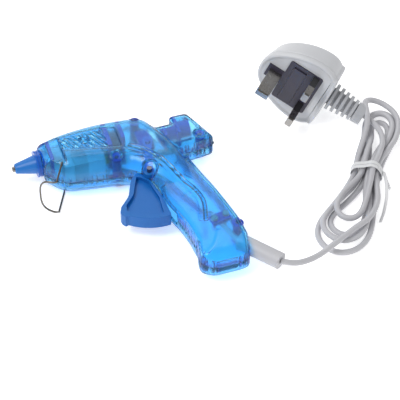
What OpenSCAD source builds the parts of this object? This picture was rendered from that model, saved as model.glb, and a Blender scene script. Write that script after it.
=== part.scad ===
// Mini glue gun with wire stand, tied mains cord and three-pin plug.
// The gun lies on its right side: X runs back along the barrel, Y is up the gun, Z is its left side.

/* [Casing] */
// Overall length of the gun from nozzle tip to the back of the rear block
gun_length = 115.8; // [105:1:145]
// Thickness of the barrel over both shells
body_w = 26.4; // [25:0.5:36]
// Height of the barrel's crown above the barrel axis
crown_h = 13.2; // [12.5:0.1:18]
// Thickness of the handle over both shells
grip_w = 19; // [18:0.5:24]
// Depth of the handle from front to back
grip_depth = 28.6; // [27:0.5:36]
// Length of the handle along its own line
grip_len = 83.7; // [69:1:110]
// Lean of the handle from square to the barrel
grip_lean = 12.3; // [8:0.5:16]
// Thickness of the rear block over both shells
rear_w = 18; // [16:0.5:22]
// Wall of the shells
wall = 1.8; // [1.4:0.1:2.4]
// Free space round pieces that are fitted by hand
fit_gap = 0.1; // [0.05:0.01:0.2]

/* [Nozzle and heater] */
// Outlet hole of the nozzle
outlet_d = 1.6; // [1:0.1:2.5]
// Outer diameter of the nozzle's tip
tip_d = 3.2; // [2.8:0.1:4.5]
// Outer diameter of the nozzle's threaded foot
nozzle_foot_d = 8; // [7:0.1:9]
// Small end of the sleeve
sleeve_tip_d = 6; // [5:0.1:7]
// Wide end of the sleeve
sleeve_d = 11.2; // [10.5:0.1:12.5]
// Rim of the front collar
collar_d = 15.6; // [14.5:0.1:17]
// Outer diameter of the melting barrel
chamber_d = 13; // [12:0.1:15]
// Length of the heater plate
heater_l = 20; // [12:0.5:22]
// Height of the heater plate
heater_h = 2.6; // [1.8:0.1:3.5]
// Width of the heater plate
heater_w = 8; // [6:0.5:10]

/* [Stick feed] */
// Diameter of the glue stick
stick_d = 7; // [6.5:0.1:8]
// Space round the stick in the guide
stick_gap = 0.3; // [0.2:0.05:0.45]
// Outer diameter of the rear guide tube
guide_d = 10.4; // [10:0.1:12]
// Length of the feed carriage
carriage_l = 8.2; // [6.8:0.1:8.6]
// Diameter of the carriage's side pins
side_pin_d = 3; // [2:0.1:3.6]

/* [Trigger] */
// Radius from the pivot to the trigger's lower rim
trigger_r = 33; // [30:0.5:36]
// Width of the trigger
trigger_w = 8.4; // [7:0.2:10.2]
// Pull of the trigger in degrees
trigger_pull = 18; // [10:1:20]
// Diameter of the trigger's pivot pin
pivot_d = 3; // [2:0.1:4]
// Height of the fork's eyes above the pivot
fork_r = 22.7; // [20:0.1:24]

/* [Wire stand] */
// Diameter of the stand's wire
wire_d = 1.1; // [0.9:0.05:1.5]
// Length of each leg
leg_l = 16.8; // [14:0.5:20]
// Diameter of the lugs that carry the stand
lug_d = 6; // [5:0.2:7]

/* [Cord and plug] */
// Diameter of the cord
cord_d = 3.4; // [3:0.1:4]
// Diameter of the strain relief
relief_d = 9.8; // [8.5:0.1:11.8]
// Length of the strain relief outside the handle
relief_out = 19.6; // [16:0.1:28]
// Height of the tied hank
hank_h = 9.6; // [7:0.2:14]
// Width of the plug across its widest part
plug_w = 46.8; // [45:0.2:52]
// Thickness of the plug's body behind its face
plug_t = 21; // [18:0.5:26]

/* [Hidden] */
$fn = 48;
eps = 0.01;
run_gap = 0.05;

// Half thicknesses
body_hw = body_w / 2;
grip_hw = grip_w / 2;
rear_hw = rear_w / 2;
mid_z = body_hw;

// Stations along the barrel, from the nozzle tip
mouth_x = 16.5;
mouth_d = collar_d - 3.2;
foot_x = 13;
chamber_x0 = 19.2;
chamber_x1 = 58;
seal_x1 = 63.8;
rib_front = [55.4, 57.4];
rib_rear = [64.1, 66.3];
guide_x0 = 88.5;
guide_x1 = 106.6;
back_x = gun_length;
bore_r = stick_d / 2 + stick_gap;

// Handle: line down its middle, s along it and n towards its back
grip_root = [83.95, -25.25];
grip_dir = [sin(grip_lean), -cos(grip_lean)];
grip_out = [cos(grip_lean), sin(grip_lean)];
grip_hd = grip_depth / 2;
base_y = grip_root[1] - grip_len * cos(grip_lean);
function grip(s, n) = grip_root + s * grip_dir + n * grip_out;
function grip_end(back, n) = grip(grip_len - back, n);

// The row's origin is the middle of the gun's own box, on the surface it lies on
origin_x = gun_length / 2;
origin_y = (crown_h + base_y) / 2;

// Trigger and feed
pivot = [73, -32];
boss_r = pivot_d / 2 + 1.9;
fork_start = 14;
pin_at = [pivot[0] + fork_r * tan(fork_start), pivot[1] + fork_r];
fork_in = trigger_w / 2 + 1.4;
fork_t = 2;
fork_out = fork_in + fork_t;
carriage_x0 = pin_at[0] - 4.66;
carriage_x1 = carriage_x0 + carriage_l;
carriage_hw = fork_in - 0.4;
slot_hw = trigger_w / 2 + 0.6;

// Wire stand
stand_at = [26.5, -14.5];
elbow_r = 0.8;
stand_h = body_hw - wire_d / 2 - 0.15;
lug_top = stand_h - elbow_r - 0.15;
lug_step = 0.45;
leg_dir = [-0.447, -0.894];
leg_end = stand_at + leg_l * leg_dir;
bow_mid = leg_end + [-8.4, 6.1];

// Casing screws: barrel, hump, rear block, handle
screw_spots = [[57.5, -18.4], [76, 8.2], [109.3, -12.8], grip_end(20.5, grip_hd - 3)];
screw_d = 2.6;
screw_head_d = 4.6;
screw_boss_d = 5.4;

// Strain relief and cord
relief_dir = [0.635, -0.773];
relief_seat = grip_end(7.3, grip_hd - 2.5);
relief_in = 7.2;
relief_end = relief_seat + relief_out * relief_dir;
relief_start = relief_seat - relief_in * relief_dir;
relief_angle = atan2(relief_dir[1], relief_dir[0]);
clamp_s = 52.4 + grip_len - 83.7;
clamp_n = grip_hd - 8.1;
clamp_at = grip(clamp_s, clamp_n);
clamp_hl = 5.6;
clamp_pitch = 3.8;
cord_r = cord_d / 2;

// Outlines, as smooth runs of points between the corners
function catmull(a, b, c, d, t) = 0.5 * ((2 * b) + (c - a) * t + (2 * a - 5 * b + 4 * c - d) * t * t
    + (3 * b - a - 3 * c + d) * t * t * t);
function smooth(p, k = 2) = [
    for (i = [0 : len(p) - 2], j = [0 : k - 1])
        catmull(p[max(i - 1, 0)], p[i], p[i + 1], p[min(i + 2, len(p) - 1)], j / k),
    p[len(p) - 1]
];
function unit(v) = v / norm(v);
function but_last(p) = [for (i = [0 : len(p) - 2]) p[i]];
function corner_shift(a, b, c, d) = let (n1 = unit([a[1] - b[1], b[0] - a[0]]),
    n2 = unit([b[1] - c[1], c[0] - b[0]]), m = n1 + n2) b + d * m * 2 / max(m * m, 0.8);
function inset(p, d) = [for (i = [0 : len(p) - 1])
    corner_shift(p[(i + len(p) - 1) % len(p)], p[i], p[(i + 1) % len(p)], d)];

// Barrel and shoulder, counter-clockwise
low_line = [[16.5, -9.5], [18.4, -12], [22.4, -16.6], [28, -20.4], [36, -22], [46.4, -23.7],
    [55.6, -24.9], [62.6, -26.6]];
throat_line = [[62.6, -26.6], [67.6, -29.8], [71.4, -35.4], [73.4, -43], [74.8, -50]];
top_line = [[97, -29], [95, -19], [92, -10], [88.7, -2.2], [85.3, 3.6], [82.2, 7.9], [78.5, 10.2],
    [73, 11.7], [66, crown_h - 0.7], [59, crown_h - 0.2], [52, crown_h], [44, crown_h - 0.3],
    [36, crown_h - 1], [28, crown_h - 2.3], [20.5, 8.9], [16.5, 7.6]];
barrel_outline = concat(but_last(smooth(low_line)), smooth(throat_line), [[98, -50]],
    smooth(top_line));

// Handle with its toe and heel
grip_front = [grip(18, -grip_hd + 1.6), grip(26, -grip_hd - 0.1), grip(34, -grip_hd),
    grip_end(41.7, -grip_hd + 0.7), grip_end(32, -grip_hd + 0.6), grip_end(20, -grip_hd - 0.8)];
toe = [grip_end(11, -grip_hd - 4.1), [grip_end(4, -grip_hd - 1)[0], base_y + 1.6],
    [grip_end(3, -grip_hd)[0] + 2.4, base_y]];
heel = [[grip_end(0, 1)[0], base_y], [grip_end(1, 7)[0], base_y + 1.7],
    grip_end(6.6, grip_hd - 4), grip_end(12, grip_hd - 1.7)];
grip_back = [grip_end(12, grip_hd - 1.7), grip_end(22, grip_hd - 0.2), grip_end(34, grip_hd + 0.1),
    grip(34, grip_hd), grip(21, grip_hd - 0.8), grip(4, grip_hd - 1.5)];
grip_outline = concat(smooth(grip_front), toe, but_last(heel), smooth(grip_back));

// Rear block
rear_outline = [[84, -19.6], [101, -18.8], [back_x - 1.4, -17.4], [back_x - 0.2, -16], [back_x, -14.6],
    [back_x - 7.6, 3.6], [back_x - 9.4, 5.6], [back_x - 11.6, 6.2], [97.6, 6.2], [96.4, 5.6],
    [95.8, 4.4], [95.4, 0.8], [84, 0.8]];

module place() translate([-origin_x, -origin_y, mid_z]) children();
module along_x(x, y = 0, h = 0) translate([x, y, h]) rotate([0, 90, 0]) children();
module bar(p, q, r) {
    v = q - p;
    translate(p) rotate([0, acos(v[2] / norm(v)), atan2(v[1], v[0])]) cylinder(r = r, h = norm(v));
}
module rounded_bar(w, h, r) {
    translate([-w / 2 + r, -h / 2]) square([w - 2 * r, h]);
    translate([-w / 2, -h / 2 + r]) square([w, h - 2 * r]);
    for (x = [-1, 1], y = [-1, 1]) translate([x * (w / 2 - r), y * (h / 2 - r)]) circle(r = r);
}

// Swept tube along a list of points
function tangent(p, i) = unit(p[min(i + 1, len(p) - 1)] - p[max(i - 1, 0)]);
function ring(c, t, r, n, up) = let (u = unit(cross(t, up)), v = cross(u, t))
    [for (k = [0 : n - 1]) c + r * (cos(360 * k / n) * u + sin(360 * k / n) * v)];
module tube(p, d, n = 8, up = [0, 0, 1]) {
    pts = [for (i = [0 : len(p) - 1]) each ring(p[i], tangent(p, i), d / 2, n, up)];
    last = (len(p) - 1) * n;
    sides = [for (i = [0 : len(p) - 2], k = [0 : n - 1])
        [i * n + k, i * n + (k + 1) % n, (i + 1) * n + (k + 1) % n, (i + 1) * n + k]];
    caps = [[for (k = [n - 1 : -1 : 0]) k], [for (k = [0 : n - 1]) last + k]];
    polyhedron(pts, concat(sides, caps));
}

// Solid forms of the casing: grow is 0 outside and minus the wall inside
module barrel_form(grow) intersection() {
    translate([0, 0, -body_hw]) linear_extrude(body_w) polygon(inset(barrel_outline, -grow));
    union() {
        along_x(0, (crown_h - 26) / 2) linear_extrude(120)
            rounded_bar(body_w + 2 * grow, crown_h + 26 + 2 * grow, 11 + grow);
        translate([64, -52, -11 - grow]) cube([36, 40, 22 + 2 * grow]);
    }
}
module grip_form(grow) intersection() {
    translate([0, 0, -grip_hw - grow]) linear_extrude(grip_w + 2 * grow)
        polygon(inset(grip_outline, -grow));
    translate([grip_root[0], grip_root[1], 0]) rotate([90, 0, grip_lean]) translate([0, 0, -20])
        linear_extrude(grip_len + 60) rounded_bar(grip_depth + 12, grip_w + 2 * grow, 3.5);
}
module rear_form(grow) translate([0, 0, -rear_hw - grow]) linear_extrude(rear_w + 2 * grow)
    polygon(inset(rear_outline, -grow));
module casing_form(grow) {
    barrel_form(grow);
    grip_form(grow);
    rear_form(grow);
}

// What is cut from both shells
module casing_cuts() {
    // Nozzle mouth and stick inlet
    along_x(mouth_x - 4) cylinder(d = mouth_d, h = 8);
    along_x(guide_x0 - 4) cylinder(d = guide_d + 2 * fit_gap, h = 60);
    // Trigger slot through the throat and down the front of the handle
    translate([44, -70, -slot_hw]) cube([pivot[0] - 44 + 1, 46, 2 * slot_hw]);
    translate([pivot[0], pivot[1], -slot_hw]) difference() {
        cylinder(r = trigger_r + 0.7, h = 2 * slot_hw);
        translate([-80, 0, -1]) cube([160, 80, 40]);
    }
    translate([pivot[0], pivot[1], -fork_out - 0.4]) cylinder(r = boss_r + 0.5, h = 2 * fork_out + 0.8);
    // Seat of the strain relief
    translate([relief_start[0], relief_start[1], 0]) rotate([0, 90, relief_angle])
        cylinder(d = relief_d + 2 * fit_gap, h = 60);
    // Swing of the stand's legs, over the lugs
    for (s = [0, 1]) mirror([0, 0, s]) translate([stand_at[0], stand_at[1], lug_top - lug_step])
        difference() {
            cylinder(r = leg_l + 4, h = 8);
            translate([2.2, -40, -1]) cube([80, 80, 12]);
            translate([0, 0, -1]) cylinder(d = lug_d, h = 1 + lug_step);
        }
}

// Ribs that carry the heater, seal, guide and cord, between two heights
module casing_ribs() {
    for (r = [[21.4, 23.4], rib_front]) difference() {
        intersection() {
            casing_form(-wall + eps);
            translate([r[0], -9, -20]) cube([r[1] - r[0], 30, 40]);
        }
        along_x(0) cylinder(d = chamber_d + 2 * fit_gap, h = 80);
    }
    difference() {
        intersection() {
            casing_form(-wall + eps);
            translate([rib_rear[0], -9, -20]) cube([rib_rear[1] - rib_rear[0], 30, 40]);
        }
        along_x(0) cylinder(r = bore_r + 0.8, h = 80);
    }
    difference() {
        intersection() {
            casing_form(-wall + eps);
            for (x = [90, 98]) translate([x, -9, -20]) cube([1.6, 30, 40]);
        }
        along_x(0) cylinder(d = guide_d + 2 * fit_gap, h = 130);
    }
}
module screw_axis(i) translate([screw_spots[i][0], screw_spots[i][1], 0]) children();
module shell_blank() {
    difference() {
        casing_form(0);
        casing_form(-wall);
    }
    casing_ribs();
    intersection() {
        casing_form(-eps);
        for (i = [0 : len(screw_spots) - 1]) screw_axis(i)
            translate([0, 0, -20]) cylinder(d = screw_boss_d, h = 40);
    }
    // Pivot bosses of the trigger, either side of the fork
    intersection() {
        casing_form(-eps);
        for (s = [0, 1]) mirror([0, 0, s]) translate([pivot[0], pivot[1], fork_out + 0.4])
            cylinder(r = boss_r, h = 8);
    }
    // Lugs of the wire stand
    for (s = [0, 1]) mirror([0, 0, s]) translate([stand_at[0], stand_at[1], 8.6])
        cylinder(d = lug_d, h = lug_top - 8.6);
}
module pin_holes() {
    for (s = [0, 1]) mirror([0, 0, s]) {
        translate([pivot[0], pivot[1], -1]) cylinder(d = pivot_d + 2 * run_gap, h = 11.6);
        translate([stand_at[0], stand_at[1], 9.4]) cylinder(d = wire_d + 2 * run_gap, h = 10);
    }
}
module half(top) translate([-60, -200, top ? 0 : -40]) cube([240, 240, 40]);
module post_seats() {
    // Spring post of the feed
    translate([spring_post[0], spring_post[1], -rear_hw + wall - 0.5])
        cylinder(d = 2.4, h = rear_hw - wall + 3.4);
    // Saddle under the cord clamp
    translate([clamp_at[0], clamp_at[1], -grip_hw + wall - 0.5]) rotate([0, 0, grip_lean])
        translate([-clamp_hl, -3.2, 0]) cube([2 * clamp_hl, 6.4, grip_hw - wall + 0.5 - cord_r - fit_gap]);
}

module left_casing() color([0.12, 0.60, 0.94, 0.6]) place() difference() {
    intersection() {
        shell_blank();
        half(true);
    }
    casing_cuts();
    pin_holes();
    for (i = [0 : len(screw_spots) - 1]) screw_axis(i)
        translate([0, 0, -eps]) cylinder(d = screw_d + 0.04, h = 6);
}
module right_casing() color([0.10, 0.52, 0.90, 0.6]) place() difference() {
    union() {
        intersection() {
            shell_blank();
            half(false);
        }
        intersection() {
            post_seats();
            casing_form(-eps);
        }
    }
    casing_cuts();
    pin_holes();
    for (i = [0 : len(screw_spots) - 1]) screw_axis(i) {
        translate([0, 0, -40]) cylinder(d = screw_d + 0.4, h = 41);
        translate([0, 0, -44]) cylinder(d = screw_head_d + 0.4, h = 40);
    }
    for (k = [-1, 1]) clamp_hole(k) translate([0, 0, -6]) cylinder(d = 2.04, h = 12);
}

module nozzle() color("dimgray") place() difference() {
    along_x(0) rotate_extrude() polygon([[0, 0], [tip_d / 2 - 0.4, 0], [tip_d / 2, 0.4],
        [tip_d / 2, 1.9], [sleeve_tip_d / 2 - 1.2, 2.4], [nozzle_foot_d / 2 - 0.2, foot_x],
        [nozzle_foot_d / 2, foot_x + 0.2], [nozzle_foot_d / 2, 24], [0, 24]]);
    along_x(-1) cylinder(d = outlet_d, h = 30);
    along_x(6) cylinder(d1 = outlet_d, d2 = stick_d - 1.6, h = 18 + eps);
}
module nozzle_sleeve() color([0.12, 0.44, 0.80]) place() difference() {
    along_x(0) rotate_extrude() polygon([[0, 1.5], [sleeve_tip_d / 2 - 0.5, 1.5],
        [sleeve_tip_d / 2, 2], [sleeve_d / 2, 13.7], [sleeve_d / 2, 16.2], [0, 16.2]]);
    along_x(0) rotate_extrude() polygon([[0, 1], [tip_d / 2 + 0.02, 1], [tip_d / 2 + 0.02, 1.92],
        [sleeve_tip_d / 2 - 1.18, 2.42], [nozzle_foot_d / 2 - 0.18, foot_x],
        [nozzle_foot_d / 2 + 0.02, foot_x + 0.2], [nozzle_foot_d / 2 + 0.02, 17], [0, 17]]);
}
module front_collar() color([0.05, 0.20, 0.70]) place() difference() {
    union() {
        along_x(13.7) cylinder(d = collar_d, h = 1);
        along_x(14.7) cylinder(d = collar_d - 1, h = 0.8);
        along_x(15.5) cylinder(d = collar_d, h = 0.95);
        along_x(16.4) cylinder(d = mouth_d - 0.2, h = 2.2);
        along_x(18.4) cylinder(d = mouth_d + 0.5, h = 0.7);
        translate([13.7, collar_d / 2 - 0.6, -1.2]) cube([2.7, 1.8, 2.4]);
    }
    along_x(13) cylinder(d = sleeve_d + 0.04, h = 3.25);
    along_x(16) cylinder(d = nozzle_foot_d + 0.1, h = 4);
}

module melt_chamber() color("silver") place() difference() {
    union() {
        along_x(chamber_x0) cylinder(d = chamber_d, h = chamber_x1 - chamber_x0);
        translate([28, -13.6, -6]) cube([heater_l + 4, 10, 12]);
        for (x = [31 : 4 : 47]) along_x(x) cylinder(d = chamber_d + 0.8, h = 1.2);
    }
    along_x(chamber_x0 - 1) cylinder(d = nozzle_foot_d + 0.02, h = 24.1 - chamber_x0 + 1);
    along_x(24) cylinder(d = stick_d - 0.4, h = 8);
    along_x(31) cylinder(d = stick_d + 0.4, h = 60);
    translate([27, -9.4 - heater_h / 2 - 0.8, -heater_w / 2 - 0.2])
        cube([heater_l + 6, heater_h + 1.6, heater_w + 0.4]);
}
module ptc_heater() color("ivory") place()
    translate([30, -9.4 - heater_h / 2, -heater_w / 2]) cube([heater_l, heater_h, heater_w]);
module heater_terminals() color("gold") place() for (s = [-1, 1]) {
    translate([30, -9.4 + s * (heater_h / 2 + 0.35) - 0.3, -heater_w / 2 + 0.4])
        cube([heater_l, 0.6, heater_w - 0.8]);
    translate([30 + heater_l - eps, -9.4 + s * (heater_h / 2 + 0.35) - 0.3, -1.5])
        cube([5, 0.6, 3]);
}
module heater_clip() color("gainsboro") place() translate([34, 0, 0]) {
    translate([0, -14.2, -6.7]) cube([8, 0.55, 13.4]);
    for (s = [-1, 1]) translate([0, -14.2, s * 6.4 - 0.3]) cube([8, 11, 0.6]);
}
module inlet_seal() color([0.72, 0.16, 0.12]) place() difference() {
    union() {
        along_x(chamber_x1 + 0.05) cylinder(d = chamber_d, h = seal_x1 - chamber_x1 - 0.05);
        along_x(chamber_x1 - 0.4) cylinder(d = chamber_d + 2.6, h = seal_x1 - chamber_x1);
    }
    along_x(50) cylinder(d = chamber_d + 0.02, h = chamber_x1 - 50 + 0.05);
    along_x(50) cylinder(r = bore_r, h = 20);
}
module stick_guide() color([0.04, 0.16, 0.62]) place() difference() {
    along_x(guide_x0) cylinder(d = guide_d, h = guide_x1 - guide_x0);
    along_x(guide_x0 - 1) cylinder(r = bore_r, h = guide_x1 - guide_x0 + 2);
    along_x(guide_x0 - eps) cylinder(r1 = bore_r + 0.7, r2 = bore_r, h = 1);
}

// Carriage: a collar round the stick with side pins and a spring hook
jaw_at = [carriage_x1 - 1.9, -6.6];
carriage_r = bore_r + 1.3;
carriage_taper = 2.4;
spring_y = -14.4;
spring_hook = [carriage_x1 - 1.6, spring_y];
spring_post = [97.6, spring_y];
module feed_carriage() color([0.10, 0.30, 0.72]) place() {
    difference() {
        union() {
            along_x(carriage_x0) cylinder(r = carriage_r, h = carriage_l - carriage_taper);
            along_x(carriage_x1 - carriage_taper)
                cylinder(r1 = carriage_r, r2 = carriage_r - 0.8, h = carriage_taper);
            translate([carriage_x0, pin_at[1] - 2.6, -carriage_hw]) cube([carriage_l, 9, 2 * carriage_hw]);
            for (s = [-1, 1]) translate([pin_at[0], pin_at[1], s > 0 ? 0 : -fork_out - 0.3])
                cylinder(d = side_pin_d, h = fork_out + 0.3);
            translate([spring_hook[0] - 1.6, spring_y - 1.6, -1]) cube([3.2, 5, 2]);
        }
        along_x(0) cylinder(r = bore_r, h = 120);
        // Window for the jaw
        translate([jaw_at[0] - 4.4, pin_at[1] + 0.2, -1.9]) cube([20, 8, 3.8]);
        translate([jaw_at[0], jaw_at[1], -20]) cylinder(d = 1.6 + 2 * run_gap, h = 40);
        translate([spring_hook[0], spring_y, -3]) cylinder(d = 1.6, h = 6);
    }
}
module grip_jaw() color("silver") place() difference() {
    translate([jaw_at[0], jaw_at[1], -1.5]) linear_extrude(3) union() {
        circle(r = 1.7);
        polygon([[-1.5, -0.9], [1.7, -0.6], [1.5, 2.4], [0.6, 3], [0.2, 2.3], [-0.5, 2.9],
            [-0.9, 2.2], [-1.6, 2.7], [-2.2, 1.6]]);
    }
    translate([jaw_at[0], jaw_at[1], -4]) cylinder(d = 1.6 + 2 * run_gap, h = 8);
}
module jaw_pin() color("gray") place()
    translate([jaw_at[0], jaw_at[1], -carriage_hw]) cylinder(d = 1.6, h = 2 * carriage_hw);

// Extension spring between the carriage's hook and the post
module return_spring() color("lightgray") place() {
    x0 = spring_hook[0] + 2.2;
    x1 = spring_post[0] - 2.2;
    coils = floor((x1 - x0) / 0.62);
    for (i = [0 : coils]) along_x(x0 + i * (x1 - x0) / coils, spring_y)
        rotate_extrude() translate([1.7, 0]) circle(d = 0.56, $fn = 16);
    for (p = [[spring_hook[0] + 0.9, x0], [x1, spring_post[0] - 1.4]])
        bar([p[0], spring_y, 1.7], [p[1], spring_y, 1.7], 0.25);
}

// Trigger: fan with a raised rim, an eye round the pin, and a fork up to the carriage
fan_front = [[-10.7, 0.3], [-13.4, -5.3], [-15.9, -11.5], [-18.8, -15], [-22.3, -18.6]];
fan_toe = [[-23.9, -22.2], [-23.6, -24.4], [-22.1, -26.5]];
function arc(r, a0, a1, k) = [for (i = [0 : k]) r * [cos(a0 + (a1 - a0) * i / k), sin(a0 + (a1 - a0) * i / k)]];
fan_outline = concat(smooth(fan_front, 3), fan_toe, arc(trigger_r, 232, 274, 8),
    [[3, -trigger_r + 1], [2.4, -20], [1.5, -3], [-1, 3.5], [-6, 4]]);
fan_inner = concat(smooth([for (p = fan_front) p + [3.2, 0.6]], 3), arc(trigger_r - 3.2, 228, 269, 8),
    [[0.4, -18], [-1.8, -4.6], [-5, -0.5]]);
module trigger() color([0.16, 0.42, 0.75]) place() translate([pivot[0], pivot[1], 0]) difference() {
    union() {
        difference() {
            translate([0, 0, -trigger_w / 2]) linear_extrude(trigger_w) polygon(fan_outline);
            for (s = [0, 1]) mirror([0, 0, s]) translate([0, 0, 1.6])
                linear_extrude(10) polygon(fan_inner);
        }
        translate([0, 0, -fork_out]) cylinder(r = boss_r, h = 2 * fork_out);
        for (s = [0, 1]) mirror([0, 0, s]) translate([0, 0, fork_in]) rotate([0, 0, -fork_start])
            linear_extrude(fork_t) fork_side();
    }
    translate([0, 0, -20]) cylinder(d = pivot_d + 2 * run_gap, h = 40);
}
fork_reach = fork_r / cos(fork_start);
module fork_side() difference() {
    union() {
        translate([-2.4, 0]) square([4.8, fork_reach]);
        translate([0, fork_reach]) circle(r = side_pin_d / 2 + 1.6);
    }
    for (y = [fork_reach - 1.3, fork_reach]) translate([0, y]) circle(d = side_pin_d + 0.5);
    translate([-side_pin_d / 2 - 0.22, fork_reach - 1.3]) square([side_pin_d + 0.44, 1.3]);
}
module trigger_pin() color("gray") place()
    translate([pivot[0], pivot[1], -10.4]) cylinder(d = pivot_d, h = 20.8);

// Wire stand: pivot ends, legs and a bowed foot, as one bent wire
foot_u = bow_mid - leg_end;
function with_h(p, h) = [p[0], p[1], h];
foot_line = [for (a = [5 : 10 : 85]) let (w = pow(cos(a), 0.62), d = pow(sin(a), 0.62))
    with_h(leg_end + d * foot_u, stand_h * w)];
side_line = concat([with_h(stand_at, 9.8), with_h(stand_at, stand_h - elbow_r)],
    [for (a = [22.5, 45, 67.5]) with_h(stand_at + elbow_r * (1 - cos(a)) * leg_dir,
        stand_h - elbow_r * (1 - sin(a)))],
    [with_h(stand_at + elbow_r * leg_dir, stand_h), with_h(leg_end - elbow_r * leg_dir, stand_h)],
    foot_line);
wire_line = concat(side_line, [with_h(bow_mid, 0)],
    [for (i = [len(side_line) - 1 : -1 : 0]) with_h(side_line[i], -side_line[i][2])]);
module wire_stand() color("gray") place() tube(wire_line, wire_d, 10, with_h(leg_dir - unit(foot_u), 0));

module casing_screws() color("darkgray") place() for (i = [0 : len(screw_spots) - 1]) screw_axis(i)
    difference() {
        union() {
            translate([0, 0, -4.4]) cylinder(d = screw_d, h = 9.8);
            translate([0, 0, -5.8]) cylinder(d = screw_head_d, h = 1.8 - run_gap);
        }
        translate([0, 0, -6]) for (a = [0, 90]) rotate([0, 0, a])
            translate([-1.3, -0.3, 0]) cube([2.6, 0.6, 1.2]);
    }

// Cord hardware inside the handle
module clamp_hole(k) translate([clamp_at[0], clamp_at[1], 0]) rotate([0, 0, grip_lean])
    translate([k * clamp_pitch, 0, -2]) children();
module cord_clamp() color([0.05, 0.20, 0.70]) place() difference() {
    translate([clamp_at[0], clamp_at[1], cord_r + fit_gap]) rotate([0, 0, grip_lean])
        translate([-clamp_hl, -3.2, 0]) cube([2 * clamp_hl, 6.4, 2.4]);
    for (k = [-1, 1]) clamp_hole(k) cylinder(d = 2.3, h = 20);
}
module clamp_screws() color("darkgray") place() for (k = [-1, 1]) clamp_hole(k) {
    translate([0, 0, -2]) cylinder(d = 2, h = 8 + cord_r);
    translate([0, 0, 2 + cord_r + fit_gap + 2.4 + run_gap]) cylinder(d = 3.8, h = 1.4);
}
// Sheath inside the handle, from the clamp out to the end of the strain relief
inner_points = [grip(clamp_s - 7, clamp_n - 0.3), grip(clamp_s, clamp_n), grip(clamp_s + 7, clamp_n + 0.3),
    grip(clamp_s + 13, clamp_n + 0.8)];
inner_route = [for (p = concat(smooth(inner_points), [relief_start, relief_start + 3 * relief_dir, relief_end]))
    [p[0], p[1], 0]];
module inner_cord() color("lightgray") place() tube(inner_route, cord_d);
// Leads from the sheath past the fork to the heater's terminals
lead_d = 1.1;
lead_low = -body_hw + 2.2 + wall + lead_d / 2 + 0.15;
function lead_route(dy, dh) = concat(
    [let (p = grip(clamp_s - 7, clamp_n - 0.3)) [p[0] + dy, p[1], dh]],
    smooth([[grip(clamp_s - 13, 3)[0], grip(clamp_s - 13, 3)[1], -3 + dh],
        [grip(26, 2)[0] + dy, grip(26, 2)[1], -5.8], [85.5 + dy, -33, lead_low + 0.4],
        [80 + dy, -23.5 + dy, lead_low], [70, -17.5 + dy, lead_low], [62.5, -13.6 + dy, -7.6],
        [57, -11.4 + dy, -3.6]], 3),
    [[55.4, -10.4 + dy, -0.4]]);
module live_lead() color("saddlebrown") place() tube(lead_route(0.9, 0.6), lead_d);
module neutral_lead() color("royalblue") place() tube(lead_route(-1.2, -0.8), lead_d);

module strain_relief() color([0.78, 0.78, 0.79]) place() difference() {
    translate([relief_start[0], relief_start[1], 0]) rotate([0, 90, relief_angle])
        cylinder(d = relief_d, h = relief_in + relief_out);
    bar([relief_start[0], relief_start[1], 0] - 4 * [relief_dir[0], relief_dir[1], 0],
        [relief_end[0], relief_end[1], 0] + [relief_dir[0], relief_dir[1], 0], cord_r + 0.02);
}

// Hank: two lobes drawn together by the tie, its own X axis along it from the tie to the head
tie_at = [199.4, -52.9];
hank_angle = 61.3;
waist_r = 9.9;
hank_foot = [[-7, waist_r], [-10.5, 13.4], [-14.6, 14.8], [-19, 17.6], [-23.5, 21], [-33.5, 23.7],
    [-45.9, 23.6], [-56.5, 23], [-63.8, 20], [-67.4, 14.9], [-69, 9.5], [-67.6, 3], [-64.4, -3.9],
    [-59, -8.1], [-50.4, -9.4], [-38.3, -8.6], [-25.7, -8.8], [-13.8, -9.4], [-7, -waist_r]];
hank_head = [[4, -waist_r], [7.6, -11], [14.6, -13.4], [23, -13.8], [29.4, -12.6], [40.4, -13.4],
    [48.6, -11.7], [52.2, -8.1], [53.4, -2.5], [50.2, 3.1], [46.4, 5.8], [42.8, 4.4], [36, 6.2],
    [29.5, 7.9], [24, 9.6], [15.2, 9.6], [4, waist_r]];
module on_hank() translate([tie_at[0] - origin_x, tie_at[1] - origin_y, 0.02])
    rotate([0, 0, hank_angle]) children();
module cord_hank() color("lightgray") on_hank() linear_extrude(hank_h)
    polygon(concat(hank_foot, hank_head));
module hank_tie() color("white") on_hank() difference() {
    translate([-6.2, -waist_r - 0.9, 0]) cube([5, 2 * waist_r + 1.8, hank_h + 1]);
    translate([-8, -waist_r - 0.02, -1]) cube([9, 2 * waist_r + 0.04, hank_h + 1.04]);
}

// Plug, in its own frame: pins along +Z, cord along +X, resting on its -Y side wall
plug_taper = 21.2;
plug_draft = 7.8;
plug_turn = -40.1;
plug_at = [171, 3.3];
plug_front = 23;
pin_reach = 22.7;
line_reach = 17.7;
pin_pitch = 22.2;
pin_x = pin_pitch / 2;
earth_x = pin_x - pin_pitch;
face_t = 2.4;
rim_t = 4;
back_scale = 0.91;
back_shift = 2;
half_side = [[-21.5, 1.6], [-21, 5], [-19.2, 9.2], [-15.4, 13.6], [-10, 17.8], [-4, 21], [2, 23],
    [8, 24], [13, 23.9], [17, 22.6], [20.5, 20], [plug_front, 16.5]];
plug_side = [for (p = half_side) [p[0], -p[1] * plug_w / 48]];
plug_points = concat(plug_side, [for (i = [len(plug_side) - 1 : -1 : 0]) [plug_side[i][0], -plug_side[i][1]]]);
function drop(x, y, z) = cos(plug_draft) * (x * sin(plug_taper) - y * cos(plug_taper)) - z * sin(plug_draft);
plug_rest = max([for (p = plug_side) max(drop(p[0], p[1], -rim_t),
    drop(back_shift + back_scale * p[0], back_scale * p[1], -plug_t))]);
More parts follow.
